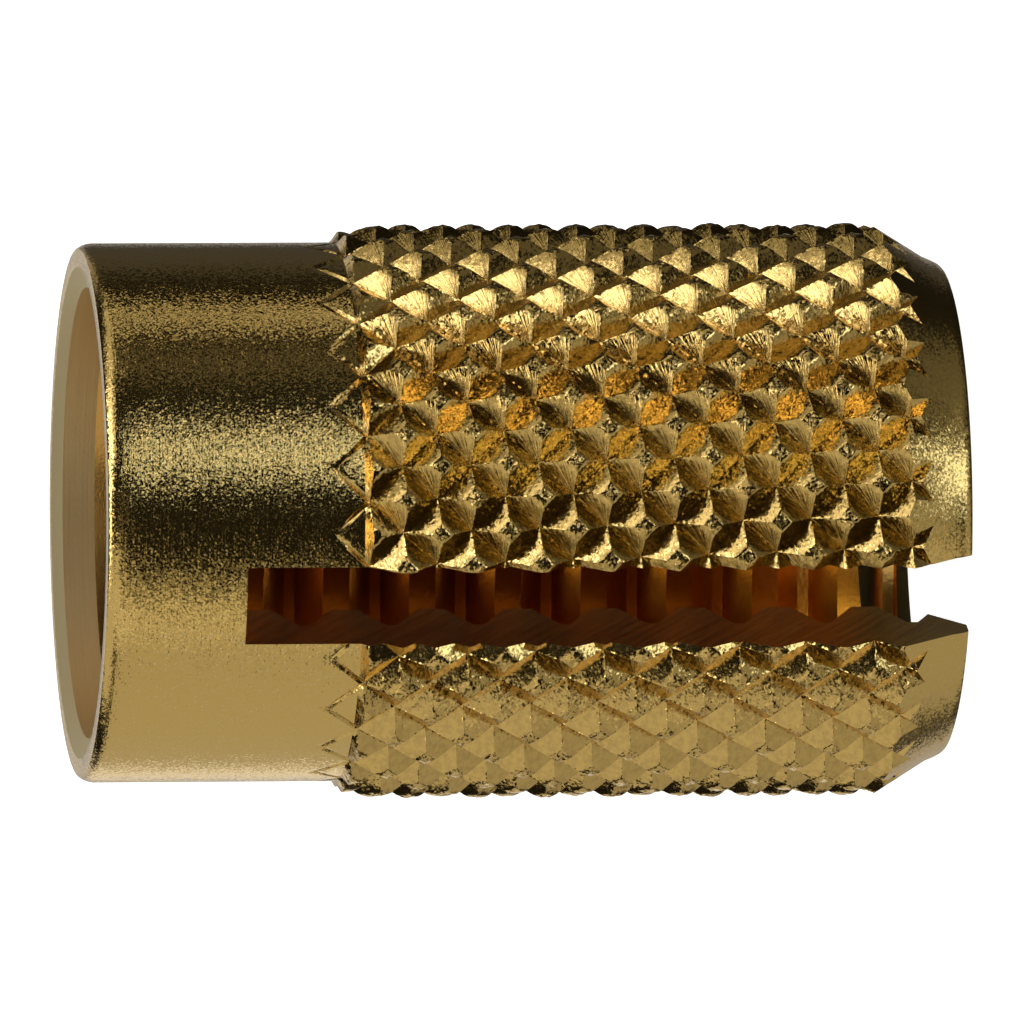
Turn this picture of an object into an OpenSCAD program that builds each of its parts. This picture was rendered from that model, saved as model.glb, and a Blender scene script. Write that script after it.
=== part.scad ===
// Brass insert that is pressed into a hole in plastic and then holds a machine screw.
// It stands on its tapered nose with the plain collar and the screw's mouth at the top.
// The nose end is sawn through, so that the screw spreads the knurl into the plastic.

/* [Body] */

// Length from the flat mouth down to the tip of the nose
body_l = 12.65; // [8:0.05:25]

// Outside diameter of the screw thread inside
thread_d = 6.35; // [4:0.05:10]

// Height of the thread, from its roots to its crests
thread_h = 0.625; // [0.3:0.005:1]

// Climb of the thread in one turn
thread_pitch = 1.27; // [0.7:0.01:2]

// Width of the flat on the thread's crests
thread_flat = 0.39; // [0.1:0.01:0.5]

// Turn of the thread against the slot
thread_turn = 116; // [0:1:360]

// Wall between the thread's roots and the plain collar's surface
collar_wall = 0.755; // [0.6:0.005:2]

// Length of the collar, from the mouth to where the first grooves cross
collar_l = 3.79; // [2:0.01:6]

// Length of the broken edge around the collar's rim
rim_l = 0.18; // [0.05:0.01:0.5]

// Width of the broken edge around the collar's rim
rim_w = 0.08; // [0.02:0.01:0.2]

/* [Mouth and exit] */

// Room around the screw in the counterbore at the mouth
mouth_room = 0.11; // [0.02:0.01:0.25]

// Depth of the counterbore at the mouth
mouth_l = 0.6; // [0.3:0.05:2]

// Depth of the bevel that opens the counterbore
mouth_bevel_l = 0.13; // [0.05:0.01:0.25]

// Width of the bevel that opens the counterbore
mouth_bevel_w = 0.3; // [0.05:0.01:0.35]

// Room around the screw where it leaves the nose
exit_room = 0.12; // [0.02:0.01:0.25]

// Length of the cone that opens the bore at the nose
exit_l = 0.85; // [0.3:0.05:2]

/* [Knurl] */

// Diamonds in one row around the body
knurl_n = 26; // [16:1:40]

// Length of one diamond along the body
knurl_pitch = 0.99; // [0.6:0.01:1.6]

// Height of the diamonds' peaks above the collar's surface
knurl_rise = 0.25; // [0.1:0.01:0.5]

// Depth of the grooves below the collar's surface
knurl_sink = 0.03; // [0.01:0.01:0.25]

// Fullness of the diamonds: 1 gives flat sides, and more swells them into domes
knurl_dome = 1.7; // [1:0.1:4]

// Turn of the rows for each millimetre towards the nose
knurl_lean = 0.45; // [-2:0.05:2]

// Turn of the whole knurl against the slot
knurl_turn = 1.7; // [0:0.1:14]

/* [Nose] */

// Length of the smooth band at the tip
band_l = 0.27; // [0.1:0.01:1]

// Depth of the band's upper edge below the collar's surface
band_drop = 0.23; // [0.1:0.01:0.3]

// Depth of the tip's edge below the collar's surface
tip_drop = 0.37; // [0.3:0.01:0.45]

// Slope of the turned shoulder that trims the knurl above the band
shoulder_angle = 32; // [20:1:60]

/* [Slot] */

// Width of the saw cut
slot_w = 1.18; // [0.5:0.02:2]

// Length left uncut below the mouth
slot_web = 2.03; // [1.2:0.05:5]

/* [Hidden] */

$fn = 96;

brass = [0.80, 0.68, 0.38];

// Cuts run past the faces that they open by this much
overrun = 1;

// Forms that join or cut one another overlap by this much
seat = 0.02;

thread_r = thread_d / 2;
bore_r = thread_r - thread_h;
collar_r = thread_r + collar_wall;
mouth_r = thread_r + mouth_room;
exit_r = thread_r + exit_room;
peak_r = collar_r + knurl_rise;
groove_r = collar_r - knurl_sink;
band_r = collar_r - band_drop;
tip_r = collar_r - tip_drop;

// The cone under the counterbore goes down to the thread's crests at 45 degrees
mouth_z = body_l - mouth_l;
mouth_cone_z = mouth_z - (mouth_r - bore_r);

// Shoulder above the nose's band, carried on until it clears the knurl
shoulder_w = peak_r - band_r + overrun;
shoulder_z = band_l + shoulder_w / tan(shoulder_angle);

// The knurl is a net of points, four to a diamond's length and four to its width
net_pitch = knurl_pitch / 4;
net_step = 90 / knurl_n;
around = 4 * knurl_n;
first_z = body_l - collar_l + knurl_pitch / 2;
rings = ceil(first_z / net_pitch) + 1;

// Grooves run where this wave across the body is 0, and peaks lie where it is 1
function wave(x) = abs(1 - x % 2);

// Way from a groove up to a peak, from 0 to 1, at a place counted in half diamonds
function climb(u, v) = min(wave(u + v), wave(abs(u - v)));

function full_r(u, v) = peak_r - (peak_r - groove_r) * pow(1 - climb(u, v), knurl_dome);

// Beside the collar only the grooves are rolled, and they run out at the first ring
function start_r(u, v) = collar_r - (climb(u, v) > 0 ? seat : max(seat, v * knurl_sink));

function net_r(u, v) = v < 1 ? start_r(u, v) : full_r(u, v);

function net_angle(i, j) = knurl_turn + i * net_step + knurl_lean * j * net_pitch;

function net_point(i, j) = [
    net_r(i / 2, j / 2) * cos(net_angle(i, j)),
    net_r(i / 2, j / 2) * sin(net_angle(i, j)),
    first_z - j * net_pitch
];

function place(i, j) = j * around + i % around;

// Each cell is folded along a groove, or across the slope beside a peak
function falls(i, j) = (i + j) % 2 != (ceil(i / 2) + ceil(j / 2)) % 2;

function cell(i, j) = falls(i, j)
    ? [
        [place(i, j), place(i + 1, j), place(i + 1, j + 1)],
        [place(i, j), place(i + 1, j + 1), place(i, j + 1)]
    ]
    : [
        [place(i, j), place(i + 1, j), place(i, j + 1)],
        [place(i + 1, j), place(i + 1, j + 1), place(i, j + 1)]
    ];

// The tap is columns of points around the axis, and each column has one tooth in every turn
tap_columns = 24;
tap_turns = ceil((body_l + 2 * overrun) / thread_pitch) + 2;
tap_low = -overrun - 2 * thread_pitch;
tap_r = bore_r - seat;
root_w = thread_pitch / 8;
foot_w = thread_pitch - thread_flat;
flank = (foot_w - root_w) / thread_h;
tap_w = foot_w + flank * seat;
tooth = [[-tap_w / 2, tap_r], [-root_w / 2, thread_r], [root_w / 2, thread_r], [tap_w / 2, tap_r]];
column = len(tooth) * tap_turns;

function tap_point(turn, angle, off) = [
    off[1] * cos(angle + thread_turn),
    off[1] * sin(angle + thread_turn),
    tap_low + (turn + angle / 360) * thread_pitch + off[0]
];

// After the last column comes the first one, a turn further up
function tap_place(i, k) = i < tap_columns ? i * column + k : k + len(tooth);

// Solid barrel of diamonds, longer than the body at the nose
module knurl() {
    points = [for (j = [0 : rings]) for (i = [0 : around - 1]) net_point(i, j)];
    sides = [for (j = [0 : rings - 1]) for (i = [0 : around - 1]) for (face = cell(i, j)) face];
    top = [for (i = [around - 1 : -1 : 0]) place(i, 0)];
    bottom = [for (i = [0 : around - 1]) place(i, rings)];
    polyhedron(points = points, faces = concat(sides, [top, bottom]), convexity = 10);
}

// Turned outline of the nose, wide open above its shoulder
module nose_form() {
    rotate_extrude()
        polygon([
            [0, 0],
            [tip_r, 0],
            [band_r, band_l],
            [band_r + shoulder_w, shoulder_z],
            [band_r + shoulder_w, body_l],
            [0, body_l]
        ]);
}

// Plain collar with its broken rim
module collar() {
    rotate_extrude()
        polygon([
            [0, first_z - seat],
            [collar_r, first_z - seat],
            [collar_r, body_l - rim_l],
            [collar_r - rim_w, body_l],
            [0, body_l]
        ]);
}

// Counterbored mouth, bore to the thread's crests, and exit cone in one turned form
module bore() {
    rotate_extrude()
        polygon([
            [0, -overrun],
            [exit_r, -overrun],
            [exit_r, 0],
            [bore_r, exit_l],
            [bore_r, mouth_cone_z],
            [mouth_r, mouth_z],
            [mouth_r, body_l - mouth_bevel_l],
            [mouth_r + mouth_bevel_w, body_l],
            [mouth_r + mouth_bevel_w, body_l + overrun],
            [0, body_l + overrun]
        ]);
}

// Tap with one right-handed tooth that climbs past both ends of the bore
module tap() {
    last = tap_columns - 1;
    low_end = tap_columns * column;
    high_end = low_end + 1;
    points = [
        for (i = [0 : last])
            for (turn = [0 : tap_turns - 1])
                for (off = tooth) tap_point(turn, i * 360 / tap_columns, off),
        [0, 0, tap_low - thread_pitch],
        [0, 0, tap_low + (tap_turns + 1) * thread_pitch]
    ];
    flanks = [
        for (i = [0 : last])
            for (k = [0 : column - 2 - (i == last ? len(tooth) : 0)])
                for (face = [
                    [tap_place(i, k), tap_place(i, k + 1), tap_place(i + 1, k + 1)],
                    [tap_place(i, k), tap_place(i + 1, k + 1), tap_place(i + 1, k)]
                ]) face
    ];
    low_rim = [for (i = [0 : last]) tap_place(i, 0), for (k = [len(tooth) : -1 : 1]) k];
    high_rim = [
        for (i = [0 : last]) tap_place(i, column - 1),
        for (k = [column - 2 : -1 : column - 1 - len(tooth)]) tap_place(last, k)
    ];
    low_fan = [for (n = [0 : len(low_rim) - 1]) [low_end, low_rim[n], low_rim[(n + 1) % len(low_rim)]]];
    high_fan = [for (n = [0 : len(high_rim) - 1]) [high_end, high_rim[(n + 1) % len(high_rim)], high_rim[n]]];
    polyhedron(points = points, faces = concat(flanks, low_fan, high_fan), convexity = 10);
}

// One saw cut straight through both walls, open at the nose
module slot() {
    slot_l = body_l - slot_web;
    reach = 2 * (peak_r + overrun);
    translate([-slot_w / 2, -reach / 2, -overrun])
        cube([slot_w, reach, slot_l + overrun]);
}

module insert() {
    color(brass)
        difference() {
            union() {
                collar();
                intersection() {
                    knurl();
                    nose_form();
                }
            }
            bore();
            tap();
            slot();
        }
}

insert();
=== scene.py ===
# %% [markdown]
# # A brass insert for plastic
# The object is a short turned brass tube. A machine presses it into a hole in plastic, nose first, and a screw
# that goes in at the mouth spreads the sawn nose until the diamond knurl bites. It is 12.65 mm long.
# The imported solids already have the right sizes. This lesson gives the one piece its fine shapes, its finish and
# its light. Everything is in metres, in the frame of the solids, so nothing has to be fitted by eye.

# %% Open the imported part
import math

import bpy
import numpy as np
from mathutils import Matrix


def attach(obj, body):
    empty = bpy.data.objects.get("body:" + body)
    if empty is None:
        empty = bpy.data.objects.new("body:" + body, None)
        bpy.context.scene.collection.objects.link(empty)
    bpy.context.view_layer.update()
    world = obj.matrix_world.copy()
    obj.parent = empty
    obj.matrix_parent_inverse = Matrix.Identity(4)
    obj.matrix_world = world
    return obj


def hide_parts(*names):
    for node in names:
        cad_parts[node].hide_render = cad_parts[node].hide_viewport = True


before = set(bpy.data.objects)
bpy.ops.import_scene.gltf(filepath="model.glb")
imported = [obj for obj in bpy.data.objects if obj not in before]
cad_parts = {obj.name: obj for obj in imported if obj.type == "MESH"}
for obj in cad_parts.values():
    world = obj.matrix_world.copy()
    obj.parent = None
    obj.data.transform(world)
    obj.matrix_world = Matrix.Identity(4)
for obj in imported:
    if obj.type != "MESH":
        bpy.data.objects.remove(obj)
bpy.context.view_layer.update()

# %% [markdown]
# ## Sizes
# The lengths below are in millimetres, as they would be on the drawing of the part. They follow the sizes of the
# solids, so the dressed piece fills the same space. Only the grooves are a few hundredths shallower, because their
# sides are straight here. Heights are counted up from the tip of the nose.

# %% Sizes in millimetres
MM = 0.001

body_l = 12.65
thread_r = 3.175
bore_r = 2.55
collar_r = 3.93
peak_r = 4.18
groove_r = 3.925
collar_l = 3.79

knurl_n = 26
half_pitch = 0.495
half_step = math.pi / knurl_n
knurl_turn = math.radians(1.7)
knurl_lean = math.radians(0.45)
top_flat = 0.12
top_round = 0.43
peak_lean = 0.05
peak_sway = 0.05
first_z = body_l - collar_l + half_pitch

slot_w = 1.18
slot_web = 2.03
thread_pitch = 1.27

print("length", body_l, "collar", 2 * collar_r, "over the knurl", 2 * peak_r)

# %% [markdown]
# ## The knurl
# A knurl is rolled: two hard wheels with slanted teeth press crossing grooves into the brass and squeeze up a field
# of diamonds. It could be faked with a bump texture, but then the outline would stay smooth. It could also be
# one diamond with Array modifiers, but the collar's end and the uneven pressure would be hard to add.
# Here the radius is a function of two counts: `u` goes around the body and `v` along it, both in half diamonds.
# Grooves lie where `u + v` or `u - v` is odd. A net of points that follows these lines keeps every groove and
# ridge crisp, because each of them falls on edges of the mesh. The sides stand at about 45 degrees and the tops
# are blunt. This angle matters for the look: light that falls into a groove bounces twice and comes out golden.

# %% Radius of the knurl at a place of the net
luck = np.random.default_rng(26)
uneven = luck.normal(0, 1, (2 * knurl_n, 64))
height_luck = 0.03
first_row_height = 0.65


def nearest_peak(u, v):
    a, b = np.round((u + v) / 2), np.round((u - v) / 2)
    return a + b, a - b


def peak_luck(u, v):
    i, j = nearest_peak(u, v)
    return uneven[np.mod(i, 2 * knurl_n).astype(int), np.clip(j + 4, 0, 63).astype(int)]


def from_peak(u, v):
    i, j = nearest_peak(u, v)
    return np.abs(u - i), np.abs(v - j), j


def climb(u, v):
    across, along, _ = from_peak(u, v)
    return np.clip(1 - across - along, 0, 1)


def rolled_r(u, v):
    across, along, row = from_peak(u, v)
    down = np.clip(across + along, 0, 1)
    bend = np.clip(down - top_flat, 0, None) ** 2 / (2 * (top_round - top_flat))
    middle = (top_flat + top_round) / 2
    fall = np.where(down < top_round, bend, down - middle) / (1 - middle)
    height = (peak_r - groove_r) * (1 + height_luck * peak_luck(u, v)) * np.where(row < 1.5, first_row_height, 1)
    return groove_r + height * (1 - fall)


print("height of the diamonds:", round(peak_r - groove_r, 3))


# %% [markdown]
# ## Where the grooves run out
# Towards the collar each pair of grooves ends in a sharp arrow. The wheel's edge pressed only these two narrow
# arms there. Inside the arrow and outside it the collar is still as the lathe left it, up to the first ridge.

# %% Radius in the first half diamond beside the collar
arm_width = 0.13
arm_depth = 0.05


def starting_r(u, v):
    beside = np.abs(v - np.abs(u - (2 * np.floor(u / 2) + 1)))
    depth = arm_depth * (0.3 + 0.7 * np.clip(v, 0, 1))
    return collar_r - np.where(v < 0, 0, depth * np.clip(1 - beside / arm_width, 0, 1))


def outer_r(u, v):
    return np.where(v < 1, starting_r(u, v), rolled_r(u, v))


print("peak", float(rolled_r(np.array(0.0), np.array(2.0))), "groove", float(rolled_r(np.array(1.0), np.array(2.0))))

# %% [markdown]
# ## The barrel
# The collar and the knurl are one net of rings. Eight points to each half diamond are enough for the blunt tops.
# The cells are cut along the diagonal that the groove takes. A little roughness in the radius stands for the
# grain that the rolling leaves, and the tops lean a little towards the nose, as the wheels pushed them.

# %% Rings of the barrel
fine = 8
top_grit = 0.008
side_grit = 0.0012
around = 2 * knurl_n * fine
half_rows = math.ceil((first_z + 0.6) / half_pitch)
v_rows = np.arange(-1, half_rows * fine + 1) / fine
u_line = np.arange(around) / fine
u_net, v_net = np.meshgrid(u_line, v_rows)
r_net = outer_r(u_net, v_net)

rise_net = np.where(v_net < 1, 0, climb(u_net, v_net))
grit = luck.normal(0, 1, r_net.shape)
r_net = r_net + grit * np.where(v_net < 1, 0, np.where(rise_net > 0.75, top_grit, side_grit))
angle_net = knurl_turn + u_net * half_step + knurl_lean * np.maximum(v_net, 0) * half_pitch
angle_net = angle_net - peak_sway / peak_r * rise_net
z_net = first_z - v_net * half_pitch - peak_lean * rise_net

rim_steps = [(0.15, 0.0), (0.085, 0.002), (0.062, 0.022), (0.03, 0.075), (0.01, 0.13), (0.0, 0.19)]
rim = [(collar_r - inward, body_l - below) for inward, below in rim_steps]
plain = [(collar_r, z) for z in np.linspace(body_l - 0.45, first_z + 0.2, 8)]
collar_rings = rim + plain
print("barrel net:", r_net.shape, "and", len(collar_rings), "rings on the collar")

# %% [markdown]
# ## From rings to a closed mesh
# Each form below is a stack of rings that is closed by a point at both ends. Booleans need such closed meshes.
# Every face carries the number of the finish that it will show, and the Boolean tool keeps these numbers.

# %% Helper that skins a stack of rings
FINISHES = ["turned_collar", "rolled_knurl", "turned_nose", "bored_mouth", "tapped_thread", "sawn_slot"]
finish_of = {name: k for k, name in enumerate(FINISHES)}
materials = [bpy.data.materials.new(name) for name in FINISHES]


def make_piece(name, corners, faces, marks):
    mesh = bpy.data.meshes.new(name)
    mesh.from_pydata((np.array(corners) * MM).tolist(), [], faces)
    for material in materials:
        mesh.materials.append(material)
    mesh.polygons.foreach_set("material_index", np.array(marks, np.int32))
    piece = bpy.data.objects.new(name, mesh)
    bpy.context.collection.objects.link(piece)
    print(name, "has", len(mesh.polygons), "faces")
    return piece


def skin(name, points, falls, finish):
    rows, count, _ = points.shape
    place = np.arange(rows * count).reshape(rows, count)
    a, b = place[:-1], np.roll(place, -1, 1)[:-1]
    c, d = np.roll(place, -1, 1)[1:], place[1:]
    first = np.where(falls[..., None], np.stack([a, d, c], -1), np.stack([a, d, b], -1))
    second = np.where(falls[..., None], np.stack([a, c, b], -1), np.stack([d, c, b], -1))
    sides = np.stack([first, second], 2).reshape(-1, 3)
    top, low = rows * count, rows * count + 1
    lid = np.stack([np.full(count, top), place[0], np.roll(place[0], -1)], -1)
    base = np.stack([np.full(count, low), np.roll(place[-1], -1), place[-1]], -1)
    ends = np.array([[0, 0, points[0, :, 2].mean()], [0, 0, points[-1, :, 2].mean()]])
    corners = np.concatenate([points.reshape(-1, 3), ends])
    faces = np.concatenate([sides, lid, base]).tolist()
    end_marks = [np.full(count, finish[0, 0]), np.full(count, finish[-1, 0])]
    return make_piece(name, corners, faces, np.concatenate([np.repeat(finish.reshape(-1), 2), *end_marks]))


# %% Skin of the barrel
collar_angle = np.tile(angle_net[0], (len(collar_rings), 1))
all_angle = np.concatenate([collar_angle, angle_net])
all_r = np.concatenate([np.tile([[r] for r, z in collar_rings], (1, around)), r_net])
all_z = np.concatenate([np.tile([[z] for r, z in collar_rings], (1, around)), z_net])
barrel_points = np.stack([all_r * np.cos(all_angle), all_r * np.sin(all_angle), all_z], -1)

half_u = np.floor(u_net[:-1] + 1e-6)
half_v = np.floor(v_net[:-1] + 1e-6)
net_falls = np.mod(half_u + half_v, 2) == 1
mid_u, mid_v = u_net[:-1] + 0.5 / fine, v_net[:-1] + 0.5 / fine
untouched = (mid_v < 1 - 1 / fine) & (starting_r(mid_u, mid_v) > collar_r - 0.004)
net_finish = np.where(untouched, finish_of["turned_collar"], finish_of["rolled_knurl"])

lead = len(collar_rings)
barrel = skin(
    "barrel",
    barrel_points,
    np.concatenate([np.zeros((lead, around), bool), net_falls]),
    np.concatenate([np.full((lead, around), finish_of["turned_collar"]), net_finish]),
)

# %% [markdown]
# ## Turned forms
# The nose, the bore and the mouth were cut on a lathe, so each is a profile turned around the axis. The Screw
# modifier or a Spin could do it. Rings through the same helper keep all the forms alike.

# %% Nose profile and bore profile
def lathe(name, profile, finishes, count=256):
    angle = np.arange(count) * 2 * math.pi / count
    points = np.array([[(r * math.cos(t), r * math.sin(t), z) for t in angle] for r, z in profile])
    marks = np.repeat([[finish_of[finish]] for finish in finishes], count, 1)
    return skin(name, points, np.ones(marks.shape, bool), marks)


clear_r, clear_top, clear_base = 5.2, 13.2, -0.6
band_r, band_l = 3.70, 0.27
shoulder_slope = math.tan(math.radians(32))
nose_profile = [
    (clear_r, clear_top),
    (clear_r, band_l + (clear_r - band_r) / shoulder_slope),
    (band_r, band_l),
    (3.645, 0.14),
    (3.60, 0.05),
    (3.565, 0.012),
    (3.53, 0.0),
]
nose_form = lathe("nose_form", nose_profile, ["turned_nose"] * 6)

mouth_r, mouth_l = 3.285, 0.6
bevel_w, bevel_l = 0.3, 0.13
exit_r, exit_l = 3.295, 0.85
bore_profile = [
    (mouth_r + bevel_w, clear_top),
    (mouth_r + bevel_w, body_l),
    (mouth_r, body_l - bevel_l),
    (mouth_r, body_l - mouth_l),
    (bore_r, body_l - mouth_l - (mouth_r - bore_r)),
    (bore_r, exit_l),
    (exit_r, 0.0),
    (exit_r, clear_base),
]
bore_finishes = ["bored_mouth"] * 3 + ["tapped_thread"] * 2 + ["turned_nose"] * 2
bore = lathe("bore", bore_profile, bore_finishes)

# %% [markdown]
# ## The thread
# The screw thread is a 60 degree groove that climbs one pitch on each turn, right-handed. The tap that cuts it is
# built here: columns of points stand around the axis, each a little higher than the last, and the last column
# meets the first one turn up. Cutting with this form leaves true thread flanks in the wall and in the slot.

# %% A tap with one helical tooth
tooth = [(-0.469, 2.50), (-0.079, thread_r), (0.079, thread_r), (0.469, 2.50)]
thread_z = 8.75


def tap(name, turns=15, count=128):
    step = len(tooth)
    low = thread_z - 9 * thread_pitch
    corners, faces = [], []
    for i in range(count):
        t = 2 * math.pi * i / count
        for k in range(turns * step):
            off, r = tooth[k % step]
            z = low + (k // step + i / count) * thread_pitch + off
            corners.append((r * math.cos(t), r * math.sin(t), z))
    column = turns * step
    for i in range(count):
        for k in range(column - 1):
            if i + 1 < count:
                b, c = (i + 1) * column + k, (i + 1) * column + k + 1
            elif k + step + 1 < column:
                b, c = k + step, k + step + 1
            else:
                continue
            faces.append((i * column + k, b, c, i * column + k + 1))
    top, base = len(corners), len(corners) + 1
    corners += [(0, 0, low + turns * thread_pitch), (0, 0, low - thread_pitch)]
    upper = [i * column + column - 1 for i in range(count)]
    lower = [i * column for i in range(count)]
    faces += [(top, p, q) for p, q in zip(upper, upper[1:])]
    faces += [(base, q, p) for p, q in zip(lower, lower[1:])]
    last = (count - 1) * column
    upper_seam = [last + k for k in range(column - 1, column - 2 - step, -1)] + [column - 1]
    lower_seam = [last] + [step - k for k in range(step + 1)]
    faces += [(top, p, q) for p, q in zip(upper_seam, upper_seam[1:])]
    faces += [(base, q, p) for p, q in zip(lower_seam, lower_seam[1:])]
    return make_piece(name, corners, faces, [finish_of["tapped_thread"]] * len(faces))


thread_tap = tap("thread_tap")

# %% [markdown]
# ## The saw cut
# One slitting saw went straight through both walls from the nose, and its square end lies in the collar.

# %% Saw blade
def blade(name, width, low, high, reach=6.0):
    ring = [(-width / 2, -reach), (width / 2, -reach), (width / 2, reach), (-width / 2, reach)]
    points = np.array([[(x, y, z) for x, y in ring] for z in (high, low)])
    cells = (1, 4)
    return skin(name, points, np.ones(cells, bool), np.full(cells, finish_of["sawn_slot"]))


saw = blade("saw", slot_w, -1.0, body_l - slot_web)

# %% [markdown]
# ## Cutting
# A Boolean modifier is the quickest way to lathe, bore, tap and saw. Its manifold solver is exact enough for
# closed meshes and takes under a second for each cut. The result is read back as a plain mesh, and the tools
# are then deleted.

# %% Lathe, bore, tap and saw the barrel
def cut(piece, tool, how):
    step = piece.modifiers.new("cut", "BOOLEAN")
    step.operation = how
    step.solver = "MANIFOLD"
    step.object = tool
    bpy.context.view_layer.update()
    seen = piece.evaluated_get(bpy.context.evaluated_depsgraph_get())
    mesh = bpy.data.meshes.new_from_object(seen)
    piece.modifiers.clear()
    piece.data = mesh
    bpy.data.objects.remove(tool)
    print(how.lower(), "leaves", len(mesh.polygons), "faces")


insert = barrel
insert.name = "insert_brass"
cut(insert, nose_form, "INTERSECT")
cut(insert, bore, "DIFFERENCE")
cut(insert, thread_tap, "DIFFERENCE")
cut(insert, saw, "DIFFERENCE")

# %% Triangles and edges
mesh = insert.data
mesh.calc_loop_triangles()
print("triangles:", len(mesh.loop_triangles))
mesh.shade_smooth()
mesh.set_sharp_from_angle(angle=math.radians(28))

# %% [markdown]
# ## Strokes on the diamonds
# One side of each diamond was combed by a sliding tooth and shows a fan of fine strokes that starts at a crossing
# of the grooves. The other three sides are smooth. A painted picture could show the fans, but a UV map that follows
# them needs no picture: it holds the way along the stroke and the way across it, for every combed side by itself.

# %% UV map of the strokes
def read(items, key, width, kind=np.float64):
    values = np.empty(len(items) * width, kind)
    items.foreach_get(key, values)
    return values.reshape(-1, width)


def counts_at(p):
    v = (first_z - p[:, 2]) / half_pitch
    angle = np.arctan2(p[:, 1], p[:, 0])
    u = np.mod((angle - knurl_turn - knurl_lean * np.maximum(v, 0) * half_pitch) / half_step, 2 * knurl_n)
    rise = np.where(v < 1, 0, climb(u, v))
    return u + peak_sway / peak_r / half_step * rise, v - peak_lean / half_pitch * rise


corner_of = read(mesh.loops, "vertex_index", 1, np.int32)[:, 0]
corners_per_face = read(mesh.polygons, "loop_total", 1, np.int32)[:, 0]
centres = np.repeat(read(mesh.polygons, "center", 3) / MM, corners_per_face, 0)
face_u, face_v = counts_at(centres)
here_u, here_v = counts_at(read(mesh.vertices, "co", 3)[corner_of] / MM)
here_u = face_u + np.mod(here_u - face_u + knurl_n, 2 * knurl_n) - knurl_n
peak_u, peak_v = nearest_peak(face_u, face_v)
side_u, side_v = face_u >= peak_u, face_v >= peak_v
fan_u = np.where(side_u, 1, -1)
along_u, along_v = here_u - (peak_u + fan_u), here_v - peak_v
turned = np.arctan2(along_v * fan_u, -along_u * fan_u)
tag = np.mod(peak_u * 7.31 + peak_v * 3.77, 50)
combed = ~side_u & ~side_v
stroke_uv = np.stack([np.hypot(along_u, along_v) * 0.5, turned + tag], -1) * combed[:, None]
strokes = mesh.uv_layers.new(name="strokes")
strokes.data.foreach_set("uv", stroke_uv.astype(np.float32).ravel())
print("stroke map:", int(combed.sum()), "of", len(corner_of), "corners are on combed sides")

# %% [markdown]
# ## Worn edges
# The edges that run from peak to crossing, and the bottoms of the grooves that were rolled last, are full of tiny
# broken flecks. Real flecks would need millions of faces. A second UV map marks these lines instead, so that the
# finish can glitter more there.

# %% UV map of the edges
across, along, row = from_peak(here_u, here_v)
ridge = np.clip(1 - 8 * np.minimum(across, along), 0, 1)
groove = np.clip(1 - 10 * np.clip(1 - across - along, 0, 1), 0, 1) * (side_u == side_v)
edges = mesh.uv_layers.new(name="edges")
edges.data.foreach_set("uv", np.stack([ridge, groove], -1).astype(np.float32).ravel())
print("edge map:", int((ridge > 0).sum()), "corners near an edge,", int((groove > 0).sum()), "near a groove")

# %% [markdown]
# ## Nodes
# The finishes share a few effects, so each effect is a node group with its own inputs. Groups put out only masks
# and heights. The shader stays in the material, where uniform values are typed on its own sockets.

# %% Helpers for nodes
def add(tree, kind, inputs=(), **settings):
    node = tree.nodes.new(kind)
    for key, value in settings.items():
        setattr(node, key, value)
    for key, value in dict(inputs).items():
        if isinstance(value, bpy.types.NodeSocket):
            tree.links.new(value, node.inputs[key])
        else:
            node.inputs[key].default_value = value
    return node


def calc(tree, how, a, b=0.0, c=0.0, clamp=False):
    return add(tree, "ShaderNodeMath", {0: a, 1: b, 2: c}, operation=how, use_clamp=clamp).outputs[0]


def effect(name, inputs, outputs):
    group = bpy.data.node_groups.new(name, "ShaderNodeTree")
    for key, value in inputs.items():
        socket = group.interface.new_socket(name=key, in_out="INPUT", socket_type="NodeSocketFloat")
        socket.default_value = value
    for key in outputs:
        kind = "NodeSocketVector" if key == "Normal" else "NodeSocketFloat"
        group.interface.new_socket(name=key, in_out="OUTPUT", socket_type=kind)
    return group, group.nodes.new("NodeGroupInput").outputs, group.nodes.new("NodeGroupOutput").inputs


def place_effect(tree, group, **values):
    return add(tree, "ShaderNodeGroup", {k.replace("_", " "): v for k, v in values.items()}, node_tree=group).outputs


# %% [markdown]
# ### Turning lines
# A lathe tool leaves fine rings. They are noise that changes fast along the axis and hardly around it.

# %% Effect: turning lines
turning, given, out = effect("turning lines", {"Lines per mm": 30.0, "Wander": 0.02}, ["Height"])
spot = add(turning, "ShaderNodeTexCoord").outputs["Object"]
part = add(turning, "ShaderNodeSeparateXYZ", {0: spot}).outputs
along = calc(turning, "MULTIPLY", part["Z"], calc(turning, "MULTIPLY", given["Lines per mm"], 1000.0))
sway = calc(turning, "MULTIPLY", given["Wander"], 1000.0)
ring_spot = add(turning, "ShaderNodeCombineXYZ", {
    "X": calc(turning, "MULTIPLY", part["X"], sway),
    "Y": calc(turning, "MULTIPLY", part["Y"], sway),
    "Z": along,
}).outputs[0]
lines = add(turning, "ShaderNodeTexNoise", {"Vector": ring_spot, "Scale": 1.0, "Detail": 2.0, "Roughness": 0.6})
turning.links.new(lines.outputs["Fac"], out["Height"])
print("effect:", turning.name)

# %% [markdown]
# ### Grain
# Worked brass glitters because its crystals lie at many angles. Two sizes of fine noise give that sparkle.

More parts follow.
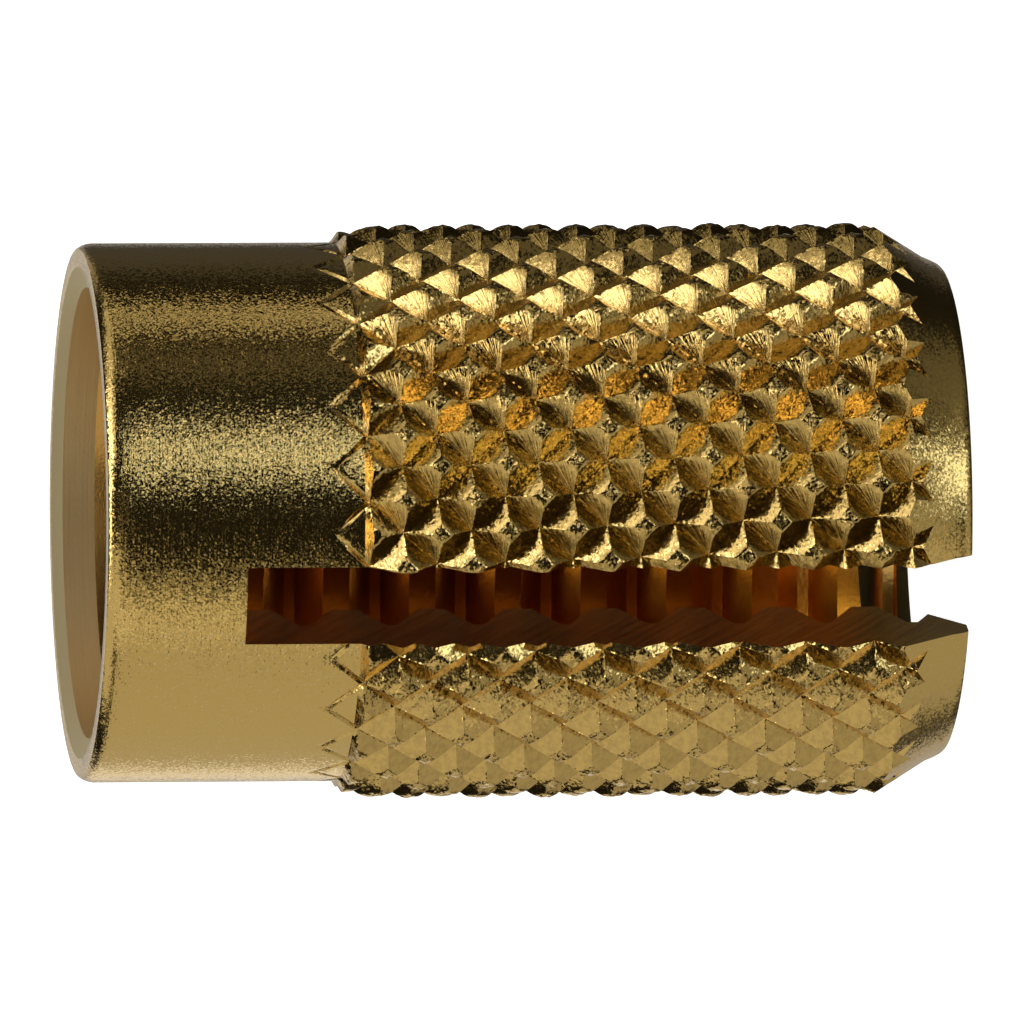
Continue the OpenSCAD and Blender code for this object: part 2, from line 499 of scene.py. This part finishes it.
# %% Effect: grain
grain, given, out = effect("crystal grain", {"Grains per mm": 25.0, "Sharpness": 0.5}, ["Height", "Speck"])
spot = add(grain, "ShaderNodeTexCoord").outputs["Object"]
scale = calc(grain, "MULTIPLY", given["Grains per mm"], 1000.0)
small = add(grain, "ShaderNodeTexNoise", {"Vector": spot, "Scale": scale, "Detail": 2.0, "Roughness": 0.65})
cells = add(grain, "ShaderNodeTexVoronoi", {"Vector": spot, "Scale": scale})
mixed = calc(grain, "MULTIPLY_ADD", cells.outputs["Distance"], given["Sharpness"], small.outputs["Fac"])
grain.links.new(mixed, out["Height"])
speck = add(grain, "ShaderNodeMapRange", {"Value": small.outputs["Fac"], "From Min": 0.62, "From Max": 0.72})
grain.links.new(speck.outputs[0], out["Speck"])
print("effect:", grain.name)

# %% [markdown]
# ### Glitter
# Under a strong lamp single crystals flash. Each cell of a Voronoi pattern gets its own small tilt, which is added to
# the normal of the surface. A bump could not do this, because a flat cell has no slope of its own.

# %% Effect: glitter
glitter, given, out = effect("glitter", {"Cells per mm": 30.0, "Tilt": 0.2}, ["Normal"])
glitter.interface.new_socket(name="Normal", in_out="INPUT", socket_type="NodeSocketVector")
spot = add(glitter, "ShaderNodeTexCoord").outputs["Object"]
cells = add(glitter, "ShaderNodeTexVoronoi", {
    "Vector": spot, "Scale": calc(glitter, "MULTIPLY", given["Cells per mm"], 1000.0),
})
centred = add(glitter, "ShaderNodeVectorMath", {0: cells.outputs["Color"], 1: (0.5, 0.5, 0.5)}, operation="SUBTRACT")
tilt = add(glitter, "ShaderNodeVectorMath", {0: centred.outputs[0], "Scale": given["Tilt"]}, operation="SCALE")
leaning = add(glitter, "ShaderNodeVectorMath", {0: given["Normal"], 1: tilt.outputs[0]}, operation="ADD")
unit = add(glitter, "ShaderNodeVectorMath", {0: leaning.outputs[0]}, operation="NORMALIZE")
glitter.links.new(unit.outputs[0], out["Normal"])
print("effect:", glitter.name)

# %% [markdown]
# ### Distance from the axis
# On the knurl the radius tells where a point is: low in a groove or high on a peak.

# %% Effect: radius mask
reach, given, out = effect("radius mask", {"From mm": 3.8, "To mm": 4.2}, ["Mask"])
spot = add(reach, "ShaderNodeTexCoord").outputs["Object"]
part = add(reach, "ShaderNodeSeparateXYZ", {0: spot}).outputs
flat_spot = add(reach, "ShaderNodeCombineXYZ", {"X": part["X"], "Y": part["Y"]}).outputs[0]
far = add(reach, "ShaderNodeVectorMath", {0: flat_spot}, operation="LENGTH").outputs["Value"]
in_mm = calc(reach, "MULTIPLY", far, 1000.0)
ramp = add(reach, "ShaderNodeMapRange", {"Value": in_mm, "From Min": given["From mm"], "From Max": given["To mm"]},
           interpolation_type="SMOOTHSTEP")
reach.links.new(ramp.outputs[0], out["Mask"])
print("effect:", reach.name)

# %% [markdown]
# ### Tool strokes
# The strokes come from the UV map that was made above: slow change along the stroke, fast change across it.

# %% Effect: tool strokes
stroke, given, out = effect("tool strokes", {"Across": 14.0, "Along": 2.0}, ["Height"])
uv = add(stroke, "ShaderNodeUVMap", uv_map="strokes").outputs[0]
part = add(stroke, "ShaderNodeSeparateXYZ", {0: uv}).outputs
stroke_spot = add(stroke, "ShaderNodeCombineXYZ", {
    "X": calc(stroke, "MULTIPLY", part["X"], given["Along"]),
    "Y": calc(stroke, "MULTIPLY", part["Y"], given["Across"]),
}).outputs[0]
marks = add(stroke, "ShaderNodeTexNoise", {"Vector": stroke_spot, "Scale": 1.0, "Detail": 3.0, "Roughness": 0.6})
stroke.links.new(marks.outputs["Fac"], out["Height"])
print("effect:", stroke.name)

# %% [markdown]
# ### Saw marks
# The saw's teeth leave slanted scratches on the walls of the slot.

# %% Effect: saw marks
sawing, given, out = effect("saw marks", {"Marks per mm": 9.0, "Slant": 0.8}, ["Height"])
spot = add(sawing, "ShaderNodeTexCoord").outputs["Object"]
part = add(sawing, "ShaderNodeSeparateXYZ", {0: spot}).outputs
across = calc(sawing, "MULTIPLY_ADD", part["Y"], given["Slant"], part["Z"])
per_metre = calc(sawing, "MULTIPLY", given["Marks per mm"], 1000.0)
mark_spot = add(sawing, "ShaderNodeCombineXYZ", {
    "X": calc(sawing, "MULTIPLY", across, per_metre),
    "Y": calc(sawing, "MULTIPLY", part["Y"], 700.0),
}).outputs[0]
marks = add(sawing, "ShaderNodeTexNoise", {"Vector": mark_spot, "Scale": 1.0, "Detail": 3.0, "Roughness": 0.7})
sawing.links.new(marks.outputs["Fac"], out["Height"])
print("effect:", sawing.name)

# %% [markdown]
# ## Finishes
# All finishes are the same brass. They differ in gloss and marks, as the tools left them, and in colour cast, which is
# painted: painted light makes the mouth paler and painted shade makes the thread darker and redder.

# %% Start of a brass material
brass = (0.87, 0.58, 0.17, 1)
# pale brass: real pale specks on the collar and the nose, and painted light over the whole wall of the mouth
pale_speck_and_painted_light_brass = (0.88, 0.72, 0.38, 1)
dull_brass = (0.62, 0.40, 0.13, 1)
# darker, redder brass for the thread: painted shade of the deep bore
shaded_red_brass = (0.78, 0.42, 0.10, 1)


def open_finish(name, roughness):
    material = bpy.data.materials[name]
    material.use_nodes = True
    tree = material.node_tree
    shader = tree.nodes["Principled BSDF"]
    shader.inputs["Metallic"].default_value = 1.0
    shader.inputs["Roughness"].default_value = roughness
    shader.inputs["Base Color"].default_value = brass
    print("finish:", name, "roughness", roughness)
    return tree, shader


def colour_mix(tree, mask, a, b):
    node = tree.nodes.new("ShaderNodeMix")
    node.data_type = "RGBA"
    tree.links.new(mask, node.inputs[0])
    for slot, value in ((6, a), (7, b)):
        if isinstance(value, bpy.types.NodeSocket):
            tree.links.new(value, node.inputs[slot])
        else:
            node.inputs[slot].default_value = value
    return node.outputs[2]


def bump(tree, height, distance_mm, over=None):
    inputs = {"Height": height, "Distance": distance_mm * MM, "Strength": 1.0}
    if over is not None:
        inputs["Normal"] = over
    return add(tree, "ShaderNodeBump", inputs).outputs[0]


# %% [markdown]
# ### The turned collar
# The collar is as the lathe left it: faint rings, a sandy grain and pale specks. A picture of brushed metal would
# repeat and stretch around the tube. Rings, grain and glitter stacked on one normal stay the same at any distance.

# %% The turned collar
tree, shader = open_finish("turned_collar", 0.16)
fine_grain = place_effect(tree, grain, Grains_per_mm=26.0, Sharpness=0.6)
rings = place_effect(tree, turning, Lines_per_mm=26.0, Wander=0.4)
normal = bump(tree, rings["Height"], 0.003)
normal = bump(tree, fine_grain["Height"], 0.003, over=normal)
normal = place_effect(tree, glitter, Cells_per_mm=34.0, Tilt=0.16, Normal=normal)["Normal"]
tree.links.new(normal, shader.inputs["Normal"])
tree.links.new(colour_mix(tree, fine_grain["Speck"], brass, pale_speck_and_painted_light_brass), shader.inputs["Base Color"])

# %% [markdown]
# ### The rolled knurl
# Rolling leaves bright sides with dull stains, combed strokes, and broken flecks along the edges. One even gloss
# would look like plastic. The masks made above say where it glitters, and where the tops are rubbed a little rougher.

# %% The rolled knurl
tree, shader = open_finish("rolled_knurl", 0.14)
fine_grain = place_effect(tree, grain, Grains_per_mm=20.0, Sharpness=0.7)
strokes_here = place_effect(tree, stroke, Across=13.0, Along=0.8)
top = place_effect(tree, reach, From_mm=4.15, To_mm=4.17)["Mask"]
normal = bump(tree, strokes_here["Height"], 0.012)
normal = bump(tree, fine_grain["Height"], 0.002, over=normal)
edge = add(tree, "ShaderNodeSeparateXYZ", {0: add(tree, "ShaderNodeUVMap", uv_map="edges").outputs[0]}).outputs
worn = calc(tree, "POWER", calc(tree, "MAXIMUM", edge["X"], edge["Y"]), 3.0)
tilt_here = calc(tree, "MULTIPLY_ADD", calc(tree, "MAXIMUM", top, calc(tree, "MULTIPLY", worn, 0.7)), 0.5, 0.09)
normal = place_effect(tree, glitter, Cells_per_mm=24.0, Tilt=tilt_here, Normal=normal)["Normal"]
tree.links.new(normal, shader.inputs["Normal"])
blotches = place_effect(tree, grain, Grains_per_mm=10.0, Sharpness=0.0)["Height"]
stain = add(tree, "ShaderNodeMapRange", {"Value": blotches, "From Min": 0.4, "From Max": 0.65}).outputs[0]
stain = calc(tree, "MULTIPLY", calc(tree, "MAXIMUM", stain, fine_grain["Speck"]), 0.6)
tree.links.new(colour_mix(tree, stain, brass, dull_brass), shader.inputs["Base Color"])
tree.links.new(calc(tree, "MULTIPLY_ADD", top, 0.06, 0.14), shader.inputs["Roughness"])

# %% [markdown]
# ### The nose, the mouth, the thread and the slot
# The nose is finely turned and the mouth is left matt by the cutter. The thread and the slot get light only after it
# has bounced off other brass, so they look redder and darker by themselves. Only a little of that is in the colours:
# the darker, redder brass of the thread is painted shade.

# %% The turned nose
tree, shader = open_finish("turned_nose", 0.22)
rings = place_effect(tree, turning, Lines_per_mm=22.0, Wander=0.3)
fine_grain = place_effect(tree, grain, Grains_per_mm=24.0, Sharpness=0.5)
normal = bump(tree, fine_grain["Height"], 0.0015, over=bump(tree, rings["Height"], 0.001))
normal = place_effect(tree, glitter, Cells_per_mm=34.0, Tilt=0.12, Normal=normal)["Normal"]
tree.links.new(normal, shader.inputs["Normal"])
tree.links.new(colour_mix(tree, fine_grain["Speck"], brass, pale_speck_and_painted_light_brass), shader.inputs["Base Color"])

# %% The bored mouth
tree, shader = open_finish("bored_mouth", 0.6)
rings = place_effect(tree, turning, Lines_per_mm=20.0, Wander=0.3)
fine_grain = place_effect(tree, grain, Grains_per_mm=24.0, Sharpness=0.5)
normal = bump(tree, fine_grain["Height"], 0.0015, over=bump(tree, rings["Height"], 0.004))
tree.links.new(normal, shader.inputs["Normal"])
# the mouth's pale colour is painted light: a lit, paler copy of the brass on the wall of the recess
shader.inputs["Base Color"].default_value = pale_speck_and_painted_light_brass

# %% The tapped thread
tree, shader = open_finish("tapped_thread", 0.2)
fine_grain = place_effect(tree, grain, Grains_per_mm=18.0, Sharpness=0.5)
tree.links.new(bump(tree, fine_grain["Height"], 0.002), shader.inputs["Normal"])
# the thread's colour is painted shade: darker, redder brass with dull specks
tree.links.new(colour_mix(tree, fine_grain["Speck"], shaded_red_brass, dull_brass), shader.inputs["Base Color"])

# %% The sawn slot
tree, shader = open_finish("sawn_slot", 0.26)
scratches = place_effect(tree, sawing, Marks_per_mm=9.0, Slant=0.8)
fine_grain = place_effect(tree, grain, Grains_per_mm=18.0, Sharpness=0.5)
normal = bump(tree, fine_grain["Height"], 0.002, over=bump(tree, scratches["Height"], 0.012))
tree.links.new(normal, shader.inputs["Normal"])
dark_marks = add(tree, "ShaderNodeMapRange", {
    "Value": scratches["Height"], "From Min": 0.4, "From Max": 0.62,
}).outputs[0]
tree.links.new(colour_mix(tree, dark_marks, brass, dull_brass), shader.inputs["Base Color"])

# %% [markdown]
# ## The piece in the frame
# The dressed insert rides on the part's one body and stands for its one solid.

# %% Tie the piece to the frame
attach(insert, "root")
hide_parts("insert")
print("piece:", insert.name)

# %% [markdown]
# ## Camera
# The photograph looks at the insert from a little above its middle, with the mouth on the left. A long lens from
# 0.4 m gives the same flat perspective. The directions of the picture are worked out first, because the lamps use
# them as well: towards the camera, up in the picture, and along the axis.

# %% Camera at the photograph's angle
from mathutils import Matrix


def stand(piece, across, up, towards, spot):
    rows = [list(row) for row in zip(across, up, towards, spot)]
    piece.matrix_world = Matrix(rows + [[0, 0, 0, 1]])
    bpy.context.collection.objects.link(piece)


side = math.radians(20.5)
rise = math.radians(7.3)
roll = math.radians(0.29)
distance = 0.4
pixels_per_metre = 68500.0

front = np.array([math.sin(side), -math.cos(side), 0.0])
picture_up = np.array([math.cos(side), math.sin(side), 0.0])
axis = np.array([0.0, 0.0, 1.0])
back = math.cos(rise) * front + math.sin(rise) * axis
right = np.cross(picture_up, back)
x_axis = math.cos(roll) * right - math.sin(roll) * picture_up
y_axis = math.cos(roll) * picture_up + math.sin(roll) * right
look_at = np.array([0, 0, 6.30 * MM])
middle = look_at + right * 1.1 / pixels_per_metre - picture_up * 1.2 / pixels_per_metre
eye = middle + distance * back

lens = bpy.data.cameras.new("camera")
lens.sensor_width = 36.0
lens.lens = 36.0 * distance * pixels_per_metre / 1024
lens.clip_start, lens.clip_end = 0.01, 50.0
camera = bpy.data.objects.new("camera", lens)
stand(camera, x_axis, y_axis, back, eye)
bpy.context.scene.camera = camera
print("lens in mm:", round(lens.lens, 1))

# %% [markdown]
# ## Floor
# A pale seamless sweep, flat around the part and rising far away. It glows like a light table and is seen by the
# camera alone, because a white floor would fill every mirror side of the brass and wash its contrast out.

# %% Floor
steps = [(0.0, 0.0), (2.0, 0.0), (2.6, 0.1), (3.0, 0.5), (3.1, 1.2), (3.1, 3.0), (1.5, 4.2), (0.0, 4.4)]
turns = 64
points, faces = [], []
for r, z in steps:
    points += [(r * math.cos(2 * math.pi * k / turns), r * math.sin(2 * math.pi * k / turns), z) for k in range(turns)]
for j in range(len(steps) - 1):
    for k in range(turns):
        n = (k + 1) % turns
        faces.append((j * turns + k, j * turns + n, (j + 1) * turns + n, (j + 1) * turns + k))
sweep_mesh = bpy.data.meshes.new("floor")
sweep_mesh.from_pydata(points, [], faces)
floor = bpy.data.objects.new("floor", sweep_mesh)
bpy.context.collection.objects.link(floor)
paper = bpy.data.materials.new("pale_paper")
paper.use_nodes = True
sheet = paper.node_tree.nodes["Principled BSDF"]
sheet.inputs["Base Color"].default_value = (0.8, 0.8, 0.8, 1)
sheet.inputs["Roughness"].default_value = 0.9
sheet.inputs["Emission Color"].default_value = (1, 1, 1, 1)
sheet.inputs["Emission Strength"].default_value = 1.0
sweep_mesh.materials.append(paper)
floor.visible_glossy = False
floor.visible_diffuse = False
floor.visible_transmission = False
floor.visible_shadow = False
print("floor points:", len(points))

# %% [markdown]
# ## Light
# Brass is a mirror, so the light is chosen by what each side should reflect. One big lamp would light every side
# alike. Here soft cards stand around the part at the places that the sides see, and it stays dark between them.
# `turn` counts up from the camera around the axis, and `lift` counts from square to the axis towards the mouth.
# - Strips in front and overhead draw the bright bands along the collar. The front ones are a little cooler.
# - A card in front on the nose's side is what the grooves that rise to the right see after two bounces.
# - A box on the mouth's side lights the combed sides near the top, and the fill and the skirt let it fade out.
# - Wide cards below make the calm lower half, and cards behind keep the lowest sides from going black.
# - Lamps at the mouth's end reach the wall of the counterbore.
# The world is pale for the camera and nearly dark for the brass, so that every view has a plain background.

# %% Lamps
lamp_distance = 0.3


def lamp(name, turn, lift, width, length, radiance, colour=(1, 1, 1)):
    turn, lift = math.radians(turn), math.radians(lift)
    way = math.cos(lift) * (math.cos(turn) * front + math.sin(turn) * picture_up) + math.sin(lift) * axis
    across = -math.sin(turn) * front + math.cos(turn) * picture_up
    along = np.cross(way, across)
    light = bpy.data.lights.new(name, "AREA")
    light.shape = "RECTANGLE"
    light.size, light.size_y = width, length
    light.energy = radiance * math.pi * width * length
    light.color = colour
    piece = bpy.data.objects.new(name, light)
    piece.visible_camera = False
    stand(piece, across, along, way, look_at + lamp_distance * way)
    print(name, "watts:", round(light.energy, 3))


cool = (0.9, 1.06, 1.35)
lamp("front_strip", 28, -7, 0.085, 0.06, 0.8, cool)
lamp("front_core", 19.5, -7, 0.036, 0.06, 1.2, cool)
lamp("front_side", 30, -22, 0.06, 0.055, 2.2, (1, 1.02, 1.2))
lamp("front_low", -3, 11, 0.06, 0.04, 0.2)
lamp("mouth_low", -22, 31, 0.08, 0.07, 0.7)
lamp("nose_side", 22, -57, 0.08, 0.09, 1.9, cool)
lamp("front_over", 46, -39, 0.1, 0.1, 0.4)
lamp("nose_over", 38, -68, 0.06, 0.06, 0.3)
lamp("mouth_box", 42, 55, 0.13, 0.11, 2.6, (0.97, 1.02, 1.25))
lamp("mouth_fill", 50, 33, 0.2, 0.09, 0.85, (1, 1.02, 1.1))
lamp("mouth_skirt", 64, 45, 0.19, 0.14, 0.4)
lamp("under_box", -36, 15, 0.2, 0.11, 0.5)
lamp("over_box", 82, 19, 0.24, 0.11, 0.45)
lamp("over_strip", 92.5, -5, 0.036, 0.2, 0.75)
lamp("over_nose", 75, -45, 0.2, 0.2, 0.1)
lamp("faint_strip", 66, -5, 0.022, 0.2, 0.22)
lamp("back_top", 145, 0, 0.25, 0.3, 0.05)
lamp("back_mouth", 146, 24, 0.2, 0.09, 0.2)
lamp("lower_card", -102, -6, 1.1, 0.19, 0.44)
lamp("lower_mouth", -70, 49, 0.36, 0.3, 0.5)
lamp("lower_nose", -88, -54, 0.36, 0.26, 0.36)
lamp("lower_edge", -40, -6, 0.12, 0.14, 0.22)
lamp("mouth_end", 0, 68, 0.16, 0.08, 2.8)
lamp("mouth_back", 180, 38, 0.3, 0.3, 0.28)
lamp("nose_card", -20, -72, 0.1, 0.1, 0.3)
lamp("back_card", -168, -5, 0.28, 0.3, 0.42)

world = bpy.data.worlds.new("studio")
world.use_nodes = True
sky = world.node_tree.nodes["Background"]
sky.inputs["Color"].default_value = (1, 1, 1, 1)
seen = add(world.node_tree, "ShaderNodeLightPath").outputs["Is Camera Ray"]
world.node_tree.links.new(calc(world.node_tree, "MAXIMUM", seen, 0.008), sky.inputs["Strength"])
bpy.context.scene.world = world
bpy.context.scene.view_settings.view_transform = "Standard"
print("lamps:", len(bpy.data.lights))
